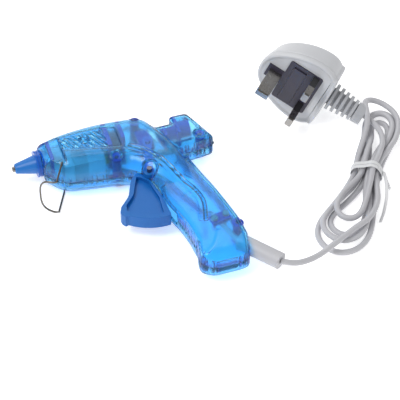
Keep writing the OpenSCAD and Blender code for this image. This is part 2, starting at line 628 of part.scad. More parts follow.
module on_plug() translate([plug_at[0] - origin_x, plug_at[1] - origin_y, plug_rest + 0.02])
    rotate([0, 0, plug_turn]) rotate([90 - plug_draft, 0, 0]) rotate([0, 0, -plug_taper]) children();
module pin_slots(gap) {
    translate([earth_x - 4 - gap, -2 - gap, -10]) cube([8 + 2 * gap, 4 + 2 * gap, 60]);
    for (s = [-1, 1]) translate([pin_x - 2 - gap, s * pin_pitch / 2 - 3.175 - gap, -10])
        cube([4 + 2 * gap, 6.35 + 2 * gap, 60]);
}
module face_shape() polygon([[earth_x - 5.7, -4.7], [earth_x + 4.4, -4.7], [earth_x + 4.4, -14],
    [earth_x + 5.4, -15], [pin_x + 3.1, -15], [pin_x + 4.1, -14], [pin_x + 4.1, 14],
    [pin_x + 3.1, 15], [earth_x + 5.4, 15], [earth_x + 4.4, 14], [earth_x + 4.4, 4.7],
    [earth_x - 5.7, 4.7]]);
fuse_at = [1, 0];
fuse_l = 26;
fuse_w = 8.2;
fuse_depth = 8.6;
module plug_body() color([0.80, 0.81, 0.82]) on_plug() difference() {
    hull() {
        translate([0, 0, -rim_t]) linear_extrude(rim_t) polygon(plug_points);
        translate([back_shift, 0, -plug_t]) linear_extrude(1) scale([back_scale, back_scale])
            polygon(plug_points);
    }
    translate([0, 0, -face_t]) linear_extrude(10) face_shape();
    pin_slots(run_gap / 2);
    translate([fuse_at[0] - fuse_w / 2 - 0.15, -fuse_l / 2 - 0.15, -fuse_depth - 0.3])
        cube([fuse_w + 0.3, fuse_l + 0.3, 20]);
    translate([plug_front - 5, 0, guard_z]) rotate([0, 90, 0]) cylinder(d = 8.1, h = 10);
}
module plug_face() color([0.20, 0.19, 0.26]) on_plug() difference() {
    translate([0, 0, -face_t]) linear_extrude(face_t) face_shape();
    pin_slots(run_gap / 2);
    translate([fuse_at[0] - fuse_w / 2 - 0.15, -fuse_l / 2 - 0.15, -10])
        cube([fuse_w + 0.3, fuse_l + 0.3, 20]);
}
module pin_blade(w, t, l) {
    translate([-t / 2, -w / 2, -9]) cube([t, w, l + 8]);
    translate([-t / 2 + 0.5, -w / 2 + 0.5, l - 1 - eps]) cube([t - 1, w - 1, 1 + eps]);
}
module earth_pin() color("rosybrown") on_plug() translate([earth_x, 0, 0]) pin_blade(4, 8, pin_reach);
module line_pin(s) on_plug() translate([pin_x, s * pin_pitch / 2, 0]) difference() {
    pin_blade(6.35, 4, line_reach);
    translate([0, 0, 0.02]) difference() {
        translate([-4, -5, 0]) cube([8, 10, 9]);
        translate([-1.5, -2.7, -1]) cube([3, 5.4, 12]);
    }
}
module live_pin() color("rosybrown") line_pin(-1);
module neutral_pin() color("rosybrown") line_pin(1);
module pin_sleeves() color([0.10, 0.10, 0.11]) on_plug() for (s = [-1, 1])
    translate([pin_x, s * pin_pitch / 2, 0.04]) difference() {
        translate([-2, -3.175, 0]) cube([4, 6.35, 8.94]);
        translate([-1.52, -2.72, -1]) cube([3.04, 5.44, 12]);
    }
module fuse_carrier() color([0.16, 0.15, 0.20]) on_plug() translate([fuse_at[0], 0, -fuse_depth])
    difference() {
        translate([-fuse_w / 2, -fuse_l / 2, 0]) cube([fuse_w, fuse_l, fuse_depth + 0.3]);
        translate([-3.35, -12.75, -eps]) cube([6.7, 25.5, 6.6]);
        translate([-fuse_w / 2 - 1, fuse_l / 2 - 1.2, fuse_depth - 0.6]) cube([fuse_w + 2, 2, 2]);
    }
module fuse() color("white") on_plug() translate([fuse_at[0], 0, -fuse_depth + 3.3])
    rotate([90, 0, 0]) {
        translate([0, 0, -9.4]) cylinder(d = 5.6, h = 18.8);
        for (z = [-12.7, 6.6]) translate([0, 0, z]) cylinder(d = 6.3, h = 6.1);
    }
guard_z = -10.5;
guard_in = 4.9;
guard_l = 23.5;
fin_pitch = 3.55;
module flex_guard() color([0.80, 0.81, 0.82]) on_plug() translate([plug_front - guard_in, 0, guard_z])
    rotate([0, 90, 0]) difference() {
        union() {
            cylinder(d = 8, h = guard_in + 0.1);
            translate([0, 0, guard_in]) cylinder(d1 = 11, d2 = 9.4, h = guard_l - 4);
            for (k = [0 : 4]) translate([0, 0, guard_in + 1.3 + k * fin_pitch])
                cylinder(d = 17 - 0.9 * k, h = 1.7);
            translate([0, 0, guard_in + guard_l - 5.5]) cylinder(d1 = 12.8, d2 = 12.2, h = 5.5);
        }
        translate([0, 0, -1]) cylinder(r = cord_r + 0.05, h = 40);
    }

// Where the cord leaves the plug's guard, and which way it points there
function turn_z(v, a) = [v[0] * cos(a) - v[1] * sin(a), v[0] * sin(a) + v[1] * cos(a), v[2]];
function turn_x(v, a) = [v[0], v[1] * cos(a) - v[2] * sin(a), v[1] * sin(a) + v[2] * cos(a)];
function plug_way(v) = turn_z(turn_x(turn_z(v, -plug_taper), 90 - plug_draft), plug_turn);
guard_end = [plug_at[0], plug_at[1], plug_rest + 0.02] + plug_way([plug_front + guard_l, 0, guard_z]);
guard_way = plug_way([1, 0, 0]);

// Free cord: chosen points in the gun's own plane, heights above the surface
lead_points = [[relief_end[0], relief_end[1], body_hw], [126.4, -113.9, 13.1], [129.8, -114.4, 12.6],
    [135, -113.9, 11.2], [141, -112.6, 9], [147, -110.8, 6.8], [152, -108.9, 4.8],
    [157.2, -106.8, 3.6], [163, -104.8, 3.2]];
tail_points = [guard_end, guard_end + 2.4 * guard_way, [213.2, -22.6, 8.2], [214.4, -25.8, 6.8],
    [214.4, -30, 5.8], [213, -34.4, 5.2]];
module route(p) translate([-origin_x, -origin_y, 0]) tube(p, cord_d);
module cord_lead() color("gainsboro") route(smooth(lead_points, 4));
module cord_tail() color("gainsboro") route(smooth(tail_points, 3));

left_casing();
right_casing();
nozzle();
nozzle_sleeve();
front_collar();
melt_chamber();
ptc_heater();
heater_terminals();
heater_clip();
inlet_seal();
stick_guide();
feed_carriage();
grip_jaw();
jaw_pin();
return_spring();
trigger();
trigger_pin();
wire_stand();
casing_screws();
cord_clamp();
clamp_screws();
live_lead();
neutral_lead();
inner_cord();
strain_relief();
cord_lead();
cord_hank();
cord_tail();
hank_tie();
plug_body();
plug_face();
earth_pin();
live_pin();
neutral_pin();
pin_sleeves();
fuse_carrier();
fuse();
flex_guard();
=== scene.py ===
import math

import bmesh
import bpy
import numpy as np
from bpy.props import FloatProperty, FloatVectorProperty, IntProperty, PointerProperty
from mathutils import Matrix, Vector, geometry


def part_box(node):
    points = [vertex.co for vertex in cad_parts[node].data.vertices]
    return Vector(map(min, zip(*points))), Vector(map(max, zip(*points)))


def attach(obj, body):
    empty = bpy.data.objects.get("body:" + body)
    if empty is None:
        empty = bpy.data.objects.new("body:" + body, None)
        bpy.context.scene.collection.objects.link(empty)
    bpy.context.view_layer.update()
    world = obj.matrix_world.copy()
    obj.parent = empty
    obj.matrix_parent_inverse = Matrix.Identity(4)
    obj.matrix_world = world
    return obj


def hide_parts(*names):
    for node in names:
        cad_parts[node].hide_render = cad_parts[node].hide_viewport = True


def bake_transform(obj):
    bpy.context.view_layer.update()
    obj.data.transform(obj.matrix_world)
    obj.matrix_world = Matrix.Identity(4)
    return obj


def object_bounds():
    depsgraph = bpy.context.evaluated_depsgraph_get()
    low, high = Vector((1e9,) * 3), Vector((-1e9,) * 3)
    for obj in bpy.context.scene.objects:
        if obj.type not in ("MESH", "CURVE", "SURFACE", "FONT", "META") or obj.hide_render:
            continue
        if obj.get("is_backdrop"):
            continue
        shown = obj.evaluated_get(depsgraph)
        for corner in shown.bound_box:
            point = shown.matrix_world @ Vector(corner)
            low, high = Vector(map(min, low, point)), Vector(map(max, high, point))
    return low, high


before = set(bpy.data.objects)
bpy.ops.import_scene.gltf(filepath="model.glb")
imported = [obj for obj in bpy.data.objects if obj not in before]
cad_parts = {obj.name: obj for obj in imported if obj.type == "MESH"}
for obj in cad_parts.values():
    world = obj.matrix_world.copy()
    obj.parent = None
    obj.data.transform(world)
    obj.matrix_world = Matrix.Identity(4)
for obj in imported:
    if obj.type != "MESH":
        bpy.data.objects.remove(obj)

bl_info = {
    "name": "Glue Gun Looks",
    "version": (1, 0, 0),
    "blender": (4, 5, 0),
    "location": "View3D > Sidebar > Glue Gun",
    "description": "Looks of a translucent glue gun with its coiled flex and plug",
    "category": "Object",
}

MM = 0.001
# The gun's own coordinates: x back from the nozzle's tip, y up, h out from the mid-plane, in mm
ORIGIN = np.array((57.9, -46.91, -13.2))
# The coil's own coordinates: x towards its head, y towards the plug, z above the surface, in mm
TIE_AT = np.array((199.4, -52.9))
COIL_X = np.array((0.4802, 0.8771))
COIL_Y = np.array((-0.8771, 0.4802))


# ---------------------------------------------------------------- helpers
def place(points):
    """Gun coordinates in mm to the part's frame in metres."""
    return (np.atleast_2d(np.asarray(points, float)) - ORIGIN) * MM


def coil(points):
    """Coil coordinates in mm to the part's frame in metres."""
    p = np.atleast_2d(np.asarray(points, float))
    xy = TIE_AT + p[:, :1] * COIL_X + p[:, 1:2] * COIL_Y
    return place(np.column_stack([xy, p[:, 2] + ORIGIN[2]]))


def smooth(points, k=8, closed=False):
    """Catmull-Rom run through the points, k steps to each span."""
    p = np.asarray(points, float)
    if closed:
        p = np.vstack([p[-1:], p, p[:2]])
    else:
        p = np.vstack([2 * p[:1] - p[1:2], p, 2 * p[-1:] - p[-2:-1]])
    t = (np.arange(k) / k)[:, None]
    rows = [
        0.5 * (2 * b + (c - a) * t + (2 * a - 5 * b + 4 * c - d) * t**2 + (3 * b - a - 3 * c + d) * t**3)
        for a, b, c, d in zip(p[:-3], p[1:-2], p[2:-1], p[3:])
    ]
    run = np.vstack(rows)
    return run if closed else np.vstack([run, p[-2:-1]])


def resample(points, step):
    p = np.asarray(points, float)
    s = np.concatenate([[0], np.cumsum(np.linalg.norm(np.diff(p, axis=0), axis=1))])
    n = max(2, int(round(s[-1] / step)) + 1)
    t = np.linspace(0, s[-1], n)
    return np.column_stack([np.interp(t, s, p[:, i]) for i in range(p.shape[1])])


def add_mesh(name, verts, faces, body, material, angle=38):
    """A piece from points in the part's frame, shaded smooth but for its edges."""
    mesh = bpy.data.meshes.new(name)
    mesh.from_pydata([tuple(map(float, v)) for v in verts], [], [tuple(map(int, f)) for f in faces])
    mesh.materials.append(material)
    bm = bmesh.new()
    bm.from_mesh(mesh)
    bmesh.ops.recalc_face_normals(bm, faces=bm.faces)
    limit = math.radians(angle)
    for e in bm.edges:
        e.smooth = len(e.link_faces) != 2 or e.calc_face_angle(0) < limit
    for f in bm.faces:
        f.smooth = True
    bm.to_mesh(mesh)
    bm.free()
    obj = bpy.data.objects.new(name, mesh)
    bpy.context.scene.collection.objects.link(obj)
    if body:
        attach(obj, body)
    return obj


def frames(path):
    """Tangent, side and up directions along a path, carried without twist."""
    d = np.gradient(path, axis=0)
    d /= np.linalg.norm(d, axis=1)[:, None]
    up = np.array((0.0, 0.0, 1.0)) if abs(d[0, 2]) < 0.9 else np.array((1.0, 0.0, 0.0))
    sides, ups = [], []
    for t in d:
        side = np.cross(t, up)
        side /= np.linalg.norm(side)
        up = np.cross(side, t)
        sides.append(side)
        ups.append(up)
    return d, np.array(sides), np.array(ups)


def tube(path, radius, n=16):
    """Vertices and faces of a round tube with closed ends."""
    path = np.asarray(path, float)
    radius = np.broadcast_to(np.asarray(radius, float), (len(path),)).copy()
    _, side, up = frames(path)
    a = np.linspace(0, 2 * math.pi, n, endpoint=False)
    verts = []
    for p, s, u, r in zip(path, side, up, radius):
        verts.extend(p + r * (math.cos(t) * s + math.sin(t) * u) for t in a)
    faces = []
    for i in range(len(path) - 1):
        for k in range(n):
            m = (k + 1) % n
            faces.append((i * n + k, i * n + m, (i + 1) * n + m, (i + 1) * n + k))
    faces.append(tuple(range(n))[::-1])
    faces.append(tuple(range((len(path) - 1) * n, len(path) * n)))
    return verts, faces


def lathe(profile, origin, axis, n=48):
    """Closed ring of (distance along the axis, radius) turned about it, in mm in the part's frame."""
    axis = np.asarray(axis, float) / np.linalg.norm(axis)
    side = np.cross(axis, (0, 0, 1)) if abs(axis[2]) < 0.9 else np.cross(axis, (1, 0, 0))
    side /= np.linalg.norm(side)
    up = np.cross(axis, side)
    m = len(profile)
    verts, faces = [], []
    for k in range(n):
        t = 2 * math.pi * k / n
        out = math.cos(t) * side + math.sin(t) * up
        verts.extend(np.asarray(origin) + MM * (a * axis + max(r, 0.01) * out) for a, r in profile)
    for k in range(n):
        j = (k + 1) % n
        for i in range(m):
            q = (i + 1) % m
            faces.append((k * m + i, k * m + q, j * m + q, j * m + i))
    return verts, faces


def group_socket(tree, name, way, kind, value=None):
    s = tree.interface.new_socket(name=name, in_out=way, socket_type=kind)
    if value is not None:
        s.default_value = value
    return s


def build_groups():
    """Two shared effects: a moulded surface's fine grain, and the streaks of drawn metal."""
    if "Moulded Grain" in bpy.data.node_groups:
        return
    for title, stretch in (("Moulded Grain", (1, 1, 1)), ("Drawn Streaks", (1, 1, 0.06))):
        t = bpy.data.node_groups.new(title, "ShaderNodeTree")
        group_socket(t, "Light Colour", "INPUT", "NodeSocketColor", (0.8, 0.8, 0.8, 1))
        group_socket(t, "Dark Colour", "INPUT", "NodeSocketColor", (0.6, 0.6, 0.6, 1))
        group_socket(t, "Grain Scale", "INPUT", "NodeSocketFloat", 300)
        group_socket(t, "Roughness Low", "INPUT", "NodeSocketFloat", 0.3)
        group_socket(t, "Roughness High", "INPUT", "NodeSocketFloat", 0.45)
        group_socket(t, "Base Color", "OUTPUT", "NodeSocketColor")
        group_socket(t, "Roughness", "OUTPUT", "NodeSocketFloat")
        group_socket(t, "Height", "OUTPUT", "NodeSocketFloat")
        gi = t.nodes.new("NodeGroupInput")
        go = t.nodes.new("NodeGroupOutput")
        co = t.nodes.new("ShaderNodeTexCoord")
        mp = t.nodes.new("ShaderNodeMapping")
        mp.inputs["Scale"].default_value = stretch
        fine = t.nodes.new("ShaderNodeTexNoise")
        fine.inputs["Detail"].default_value = 4
        broad = t.nodes.new("ShaderNodeTexNoise")
        broad.inputs["Scale"].default_value = 22
        broad.inputs["Detail"].default_value = 3
        mix = t.nodes.new("ShaderNodeMix")
        mix.data_type = "RGBA"
        rough = t.nodes.new("ShaderNodeMapRange")
        t.links.new(co.outputs["Object"], mp.inputs["Vector"])
        t.links.new(mp.outputs["Vector"], fine.inputs["Vector"])
        t.links.new(co.outputs["Object"], broad.inputs["Vector"])
        t.links.new(gi.outputs["Grain Scale"], fine.inputs["Scale"])
        t.links.new(broad.outputs["Fac"], mix.inputs["Factor"])
        t.links.new(gi.outputs["Light Colour"], mix.inputs[6])
        t.links.new(gi.outputs["Dark Colour"], mix.inputs[7])
        t.links.new(fine.outputs["Fac"], rough.inputs["Value"])
        t.links.new(gi.outputs["Roughness Low"], rough.inputs["To Min"])
        t.links.new(gi.outputs["Roughness High"], rough.inputs["To Max"])
        t.links.new(mix.outputs[2], go.inputs["Base Color"])
        t.links.new(rough.outputs["Result"], go.inputs["Roughness"])
        t.links.new(fine.outputs["Fac"], go.inputs["Height"])


def material(name, light, dark, rough=(0.3, 0.45), metallic=0.0, grain=600, bump=0.04, clear=0.0, coat=0.0,
             group="Moulded Grain", ior=1.5, gloss=0.5):
    """A procedural material on the shared groups; clear is the Transmission Weight."""
    if name in bpy.data.materials:
        return bpy.data.materials[name]
    build_groups()
    m = bpy.data.materials.new(name)
    m.use_nodes = True
    t = m.node_tree
    p = t.nodes["Principled BSDF"]
    g = t.nodes.new("ShaderNodeGroup")
    g.node_tree = bpy.data.node_groups[group]
    g.inputs["Light Colour"].default_value = (*light, 1)
    g.inputs["Dark Colour"].default_value = (*dark, 1)
    g.inputs["Grain Scale"].default_value = grain
    g.inputs["Roughness Low"].default_value = rough[0]
    g.inputs["Roughness High"].default_value = rough[1]
    b = t.nodes.new("ShaderNodeBump")
    b.inputs["Strength"].default_value = bump
    b.inputs["Distance"].default_value = 0.0002
    p.inputs["Metallic"].default_value = metallic
    p.inputs["IOR"].default_value = ior
    p.inputs["Specular IOR Level"].default_value = gloss
    p.inputs["Coat Weight"].default_value = coat
    p.inputs["Coat Roughness"].default_value = 0.12
    p.inputs["Transmission Weight"].default_value = clear
    t.links.new(g.outputs["Base Color"], p.inputs["Base Color"])
    t.links.new(g.outputs["Roughness"], p.inputs["Roughness"])
    t.links.new(g.outputs["Height"], b.inputs["Height"])
    t.links.new(b.outputs["Normal"], p.inputs["Normal"])
    if clear > 0.5:
        # thicker, deeper blue where the wall is seen edge on
        facing = t.nodes.new("ShaderNodeLayerWeight")
        facing.inputs["Blend"].default_value = 0.5
        curve = t.nodes.new("ShaderNodeMath")
        curve.operation = "POWER"
        curve.inputs[1].default_value = 2.0
        edge = t.nodes.new("ShaderNodeMix")
        edge.data_type = "RGBA"
        edge.inputs[7].default_value = (0.0, 0.09, 0.62, 1)
        t.links.new(facing.outputs["Facing"], curve.inputs[0])
        t.links.new(curve.outputs["Value"], edge.inputs[0])
        t.links.new(g.outputs["Base Color"], edge.inputs[6])
        t.links.new(edge.outputs[2], p.inputs["Base Color"])
        out = t.nodes["Material Output"]
        path = t.nodes.new("ShaderNodeLightPath")
        see = t.nodes.new("ShaderNodeBsdfTransparent")
        see.inputs["Color"].default_value = (*[c**0.5 for c in dark], 1)
        mix = t.nodes.new("ShaderNodeMixShader")
        t.links.new(path.outputs["Is Shadow Ray"], mix.inputs["Fac"])
        t.links.new(p.outputs["BSDF"], mix.inputs[1])
        t.links.new(see.outputs["BSDF"], mix.inputs[2])
        t.links.new(mix.outputs["Shader"], out.inputs["Surface"])
    return m


def coat_node(node, mat):
    """Gives a CAD node its material, the node's shape staying as it is."""
    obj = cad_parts[node]
    obj.data.materials.clear()
    obj.data.materials.append(mat)


# ---------------------------------------------------------------- materials
def casing_plastic():
    return material("Azure Clear Plastic", (0.30, 0.79, 1.0), (0.13, 0.62, 0.98), (0.17, 0.27), clear=0.96,
                    ior=1.42, grain=900, bump=0.02, gloss=0.22)


def rib_plastic():
    return material("Deep Blue Plastic", (0.004, 0.05, 0.42), (0.002, 0.03, 0.30), (0.2, 0.3), grain=500,
                    bump=0.02, gloss=0.2)


def trigger_plastic():
    return material("Trigger Blue", (0.010, 0.16, 0.52), (0.006, 0.12, 0.44), (0.28, 0.42), grain=800,
                    bump=0.05, gloss=0.3)


def plug_plastic():
    return material("Plug Plastic", (0.64, 0.65, 0.67), (0.56, 0.57, 0.60), (0.3, 0.42), grain=900, bump=0.05)


def cord_vinyl():
    return material("Flex Vinyl", (0.56, 0.56, 0.585), (0.49, 0.49, 0.52), (0.32, 0.46), grain=1400,
                    bump=0.06)


# ---------------------------------------------------------------- stage
class StageSettings(bpy.types.PropertyGroup):
    distance: FloatProperty(name="Camera distance", description="From the camera to the middle of the view",
                            default=1.1, unit="LENGTH")
    elevation: FloatProperty(name="Camera elevation", description="Angle of the view above the horizon",
                             default=math.radians(48), subtype="ANGLE")
    heading: FloatProperty(name="Camera heading", description="Turn of the view about the vertical",
                           default=math.radians(-17.9), subtype="ANGLE")
    lens: FloatProperty(name="Lens", description="Focal length on a 36 mm sensor", default=174.24)
    target: FloatVectorProperty(name="Target", description="Middle of the view", size=3,
                                subtype="TRANSLATION", default=(0.0378, -0.0087, 0.0132), unit="LENGTH")


class GLUEGUN_OT_stage(bpy.types.Operator):
    """Sets the camera, the pale floor and the soft studio light"""
    bl_idname = "gluegun.stage"
    bl_label = "Stage"

    def execute(self, context):
        s = context.scene.glue_stage
        flat = Vector((-math.sin(s.heading), math.cos(s.heading), 0))
        look = flat * math.cos(s.elevation) - Vector((0, 0, math.sin(s.elevation)))
        data = bpy.data.cameras.new("Camera")
        data.lens = s.lens
        data.sensor_width = 36
        data.clip_start = 0.05
        data.dof.use_dof = False
        cam = bpy.data.objects.new("Camera", data)
        cam.location = Vector(s.target) - look * s.distance
        cam.rotation_euler = look.to_track_quat("-Z", "Y").to_euler()
        context.scene.collection.objects.link(cam)
        context.scene.camera = cam

        paper = material("Floor Paper", (0.93, 0.93, 0.93), (0.91, 0.91, 0.92), (0.8, 0.9))
        glow = paper.node_tree.nodes["Principled BSDF"]
        glow.inputs["Emission Color"].default_value = (1, 1, 1, 1)
        glow.inputs["Emission Strength"].default_value = 0.5
        floor = add_mesh("Floor", [(-3, -3, -0.0002), (3, -3, -0.0002), (3, 3, -0.0002), (-3, 3, -0.0002)],
                         [(0, 1, 2, 3)], None, paper)
        floor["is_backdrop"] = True
        world = bpy.data.worlds.new("Studio")
        world.use_nodes = True
        world.node_tree.nodes["Background"].inputs["Color"].default_value = (1.0, 1.0, 1.0, 1)
        world.node_tree.nodes["Background"].inputs["Strength"].default_value = 0.42
        context.scene.world = world
        for name, at, size, watts in (
            ("Key light", (-0.5, -0.1, 0.95), 0.5, 6.0),
            ("Fill light", (0.8, -0.6, 0.8), 0.9, 1.6),
            ("Back light", (0.1, 0.9, 0.7), 0.7, 3.0),
        ):
            lamp = bpy.data.lights.new(name, "AREA")
            lamp.energy = watts
            lamp.size = size
            o = bpy.data.objects.new(name, lamp)
            o.location = at
            o.rotation_euler = (Vector(s.target) - Vector(at)).to_track_quat("-Z", "Y").to_euler()
            context.scene.collection.objects.link(o)
        context.scene.view_settings.view_transform = "Standard"
        return {"FINISHED"}


# ---------------------------------------------------------------- the flex
RELIEF_END = np.array((124.2, -112.55, 0.0))
LEAD = [(126.2, -113.9, 0.0), (129.8, -115.3, -0.7), (135.0, -115.4, -2.2)]
LAY_FLAT = [
    # the lead, over the feet and up the right side
    (-77.0, 18.0, 8.6), (-68.6, 11.3, 9.4), (-60.0, 5.4, 9.4), (-51.2, -1.0, 9.2), (-42.7, -6.9, 8.6),
    (-27.0, -9.4, 6.2), (-14.0, -6.8, 5.1), (-3.6, -5.2, 5.1), (9.0, -7.4, 5.1),
    (22.0, -12.8, 5.1), (35.0, -13.9, 5.1), (44.4, -11.2, 5.2), (50.0, -5.2, 5.6), (51.6, 1.4, 7.4),
    (48.6, 6.8, 10.4), (43.4, 8.4, 13.0), (37.4, 6.6, 14.2), (31.0, 4.6, 13.8), (24.0, 4.2, 11.0),
    (15.0, 5.6, 6.6), (6.0, 7.0, 2.8), (-3.6, 6.8, 1.75), (-16.0, 9.6, 1.75), (-31.0, 15.2, 1.75),
    (-44.0, 20.6, 1.75), (-54.0, 21.9, 1.75), (-61.6, 18.4, 1.75), (-66.0, 12.0, 1.75), (-66.6, 5.0, 1.75),
    (-63.0, -1.6, 1.75), (-56.5, -6.2, 1.75), (-48.0, -8.2, 1.75), (-36.0, -8.0, 1.75), (-20.0, -7.2, 1.75),
    (-3.6, -6.8, 1.75), (9.0, -8.2, 1.75), (22.0, -11.2, 1.75), (33.0, -12.4, 1.75), (41.0, -11.2, 1.75),
    (46.8, -6.8, 1.75), (48.2, -1.8, 1.75), (45.4, 3.2, 1.75), (40.0, 6.0, 1.75), (32.0, 6.0, 1.75),
    (20.0, 4.8, 1.75),
    (8.0, 3.6, 1.75), (-3.6, 3.4, 1.75), (-14.0, 5.4, 2.4), (-28.0, 11.4, 5.2), (-40.0, 17.6, 5.2),
    (-49.0, 19.9, 5.2), (-56.0, 16.4, 5.2), (-60.0, 10.4, 5.2), (-60.2, 4.0, 5.2), (-56.0, -1.6, 5.2),
    (-49.0, -5.0, 5.2), (-38.0, -5.4, 5.0), (-22.0, -4.2, 2.8), (-12.0, -3.5, 1.75), (-3.6, -3.4, 1.75),
    (7.0, -4.4, 1.9), (18.0, -7.8, 4.6), (28.5, -10.1, 5.2), (36.5, -10.2, 5.2), (42.4, -7.0, 5.2),
    (44.6, -2.4, 5.2), (42.0, 2.2, 5.2), (36.4, 4.6, 5.2), (28.5, 3.8, 5.2), (19.0, 1.4, 3.0),
    (7.0, 0.1, 1.75), (-3.6, 0.0, 1.75), (-14.0, 1.6, 1.75), (-27.0, 7.4, 1.9), (-38.0, 14.2, 1.75),
    (-45.6, 16.2, 1.9), (-51.0, 12.6, 1.75), (-53.4, 7.0, 1.75), (-52.0, 1.6, 1.75), (-46.0, -2.4, 1.75),
    (-36.0, -3.6, 1.9), (-22.0, -1.6, 4.4), (-12.0, -1.1, 5.1), (-3.6, -1.5, 5.1), (8.0, -3.0, 5.0),
    (18.0, -5.0, 2.6), (25.5, -7.8, 1.75), (32.4, -8.4, 1.75), (38.2, -6.4, 1.75), (40.6, -2.6, 1.75),
    (38.2, 1.2, 1.75), (32.6, 2.3, 1.9), (25.5, 1.0, 4.0), (19.0, 0.8, 6.3), (8.0, 2.2, 5.6),
    (-3.6, 2.1, 5.1), (-14.0, 5.0, 6.4), (-26.0, 10.6, 8.4), (-36.0, 13.6, 8.4), (-43.4, 11.6, 8.2),
    (-46.2, 6.2, 7.8), (-44.4, 1.0, 7.6), (-38.0, -1.9, 7.8), (-26.0, -2.9, 8.2), (-12.0, -3.4, 8.5),
    (-3.6, -3.4, 8.5), (7.0, -5.4, 8.5), (16.0, -6.6, 8.6), (23.0, -5.2, 8.8), (28.8, -1.4, 9.2),
    (32.4, 2.8, 9.6),
]
GUARD_END = (35.1, 7.8, 10.8)
GUARD_WAY = np.array((-0.235, -0.903, -0.36))


class FlexSettings(bpy.types.PropertyGroup):
    diameter: FloatProperty(name="Cord diameter", description="Across the sheath", default=0.0034,
                            unit="LENGTH")
    inside: FloatProperty(name="Length in the plug", description="How far the cord runs on inside the guard",
                          default=0.030, unit="LENGTH")


class GLUEGUN_OT_flex(bpy.types.Operator):
    """Lays the flex from the strain relief through its tied coil into the plug's guard"""
    bl_idname = "gluegun.flex"
    bl_label = "Flex"

    def execute(self, context):
        s = context.scene.glue_flex
        start = place([RELIEF_END])
        lead = place([(x, y, h) for x, y, h in LEAD])
        body = coil(LAY_FLAT)
        end = coil([GUARD_END])
        way = coil([np.array(GUARD_END) + GUARD_WAY])[0] - end[0]
        way /= np.linalg.norm(way)
        inside = [end[0] - way * s.inside * k / 6 for k in range(1, 7)]
        path = smooth(np.vstack([start, lead, body, end, inside]), 10)
        path = resample(path, 0.0016)
        for _ in range(12):
            path[1:-1] = (path[:-2] + 2 * path[1:-1] + path[2:]) / 4
        path[:, 2] = np.maximum(path[:, 2], s.diameter / 2 + 0.00003)
        curve = bpy.data.curves.new("Flex", "CURVE")
        curve.dimensions = "3D"
        curve.bevel_depth = s.diameter / 2
        curve.bevel_resolution = 5
        curve.use_fill_caps = True
        sp = curve.splines.new("POLY")
        sp.points.add(len(path) - 1)
        for q, p in zip(sp.points, path):
            q.co = (*p, 1)
        curve.materials.append(cord_vinyl())
        flex = bpy.data.objects.new("Flex", curve)
        context.scene.collection.objects.link(flex)
        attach(flex, "gun")
        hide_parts("cord_lead", "cord_hank", "cord_tail")
        tie = make_tie()
        on_it = [tie, bpy.data.objects["Plug_Cover"]]
        on_it += [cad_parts[n] for n in ("inner_cord", "strain_relief", "plug_face", "earth_pin",
                                              "live_pin", "neutral_pin", "pin_sleeves", "fuse_carrier",
                                              "fuse", "flex_guard")]
        return {"FINISHED"}


def make_tie():
    """A flat paper-covered wire wound round the coil's waist, its ends twisted together."""
    mat = material("Tie Paper", (0.80, 0.80, 0.80), (0.70, 0.71, 0.73), (0.5, 0.7), grain=900, bump=0.1)
    verts, faces = [], []
    sides = 12

    def strip(path, wide, thick, lean=(1, 0, 0)):
        path = np.asarray(path, float)
        lean = np.asarray(lean, float)
        d = np.gradient(path, axis=0)
        d /= np.linalg.norm(d, axis=1)[:, None]
        base = len(verts)
        for i, (p, t) in enumerate(zip(path, d)):
            w = lean - t * (lean @ t)
            w /= np.linalg.norm(w)
            n = np.cross(t, w)
            for a in range(sides):
                c, q = math.cos(2 * math.pi * a / sides), math.sin(2 * math.pi * a / sides)
                verts.append(p + w * wide / 2 * math.copysign(abs(c) ** 0.6, c) + n * thick / 2 * q)
        for i in range(len(path) - 1):
            for k in range(sides):
                m = (k + 1) % sides
                faces.append((base + i * sides + k, base + i * sides + m, base + (i + 1) * sides + m,
                              base + (i + 1) * sides + k))
        faces.append(tuple(base + k for k in range(sides)))
        faces.append(tuple(base + (len(path) - 1) * sides + k for k in range(sides)))

    loop = smooth([(0, 9.2, 1.9), (0, 9.0, 4.4), (0, 7.0, 7.4), (0, 2.0, 8.9), (0, -2.0, 10.7),
                   (0, -5.6, 9.9), (0, -8.2, 6.6), (0, -9.2, 3.4), (0, -8.7, 0.6), (0, -4, 0.35),
                   (0, 4, 0.35), (0, 8.5, 0.5)], 6, True)
    loop[:, 2] = np.maximum(loop[:, 2], 0.27)
    for x in (-5.0, -2.4):
        ring = np.vstack([loop, loop[:1]]) + (x, 0, 0)
        ring[:, 0] += 0.5 * np.sin(np.linspace(0, 2 * math.pi, len(ring)))
        strip(ring, 2.4, 0.5)
    for k in (0, math.pi):
        t = np.linspace(0, 1, 40)
        twist = 7 * math.pi * t + k
        tail = np.column_stack([-3.6 - 9.5 * t + 0.55 * np.cos(twist), -9.9 - 5.0 * t + 0.55 * np.sin(twist),
                                4.6 - 2.6 * t + 0.3 * np.cos(twist)])
        strip(tail, 1.1, 0.5, (0.4, 0.5, 1))
    strip(smooth([(-3.0, -9.7, 4.2), (-7.0, -11.4, 3.8), (-14, -13.0, 3.0), (-22, -13.8, 2.0),
                  (-31, -13.6, 1.2), (-39, -12.6, 1.0)], 8), 2.0, 0.45, (0.2, -1, 0.4))
    tie = add_mesh("Coil_Tie", coil(np.array(verts)), faces, "gun", mat)
    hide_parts("hank_tie")
    return tie


# ---------------------------------------------------------------- the casing
def grip(s, n):
    lean = math.radians(12.3)
    return (83.95 + s * math.sin(lean) + n * math.cos(lean), -25.25 - s * math.cos(lean) + n * math.sin(lean))


def grip_end(back, n):
    return grip(83.7 - back, n)


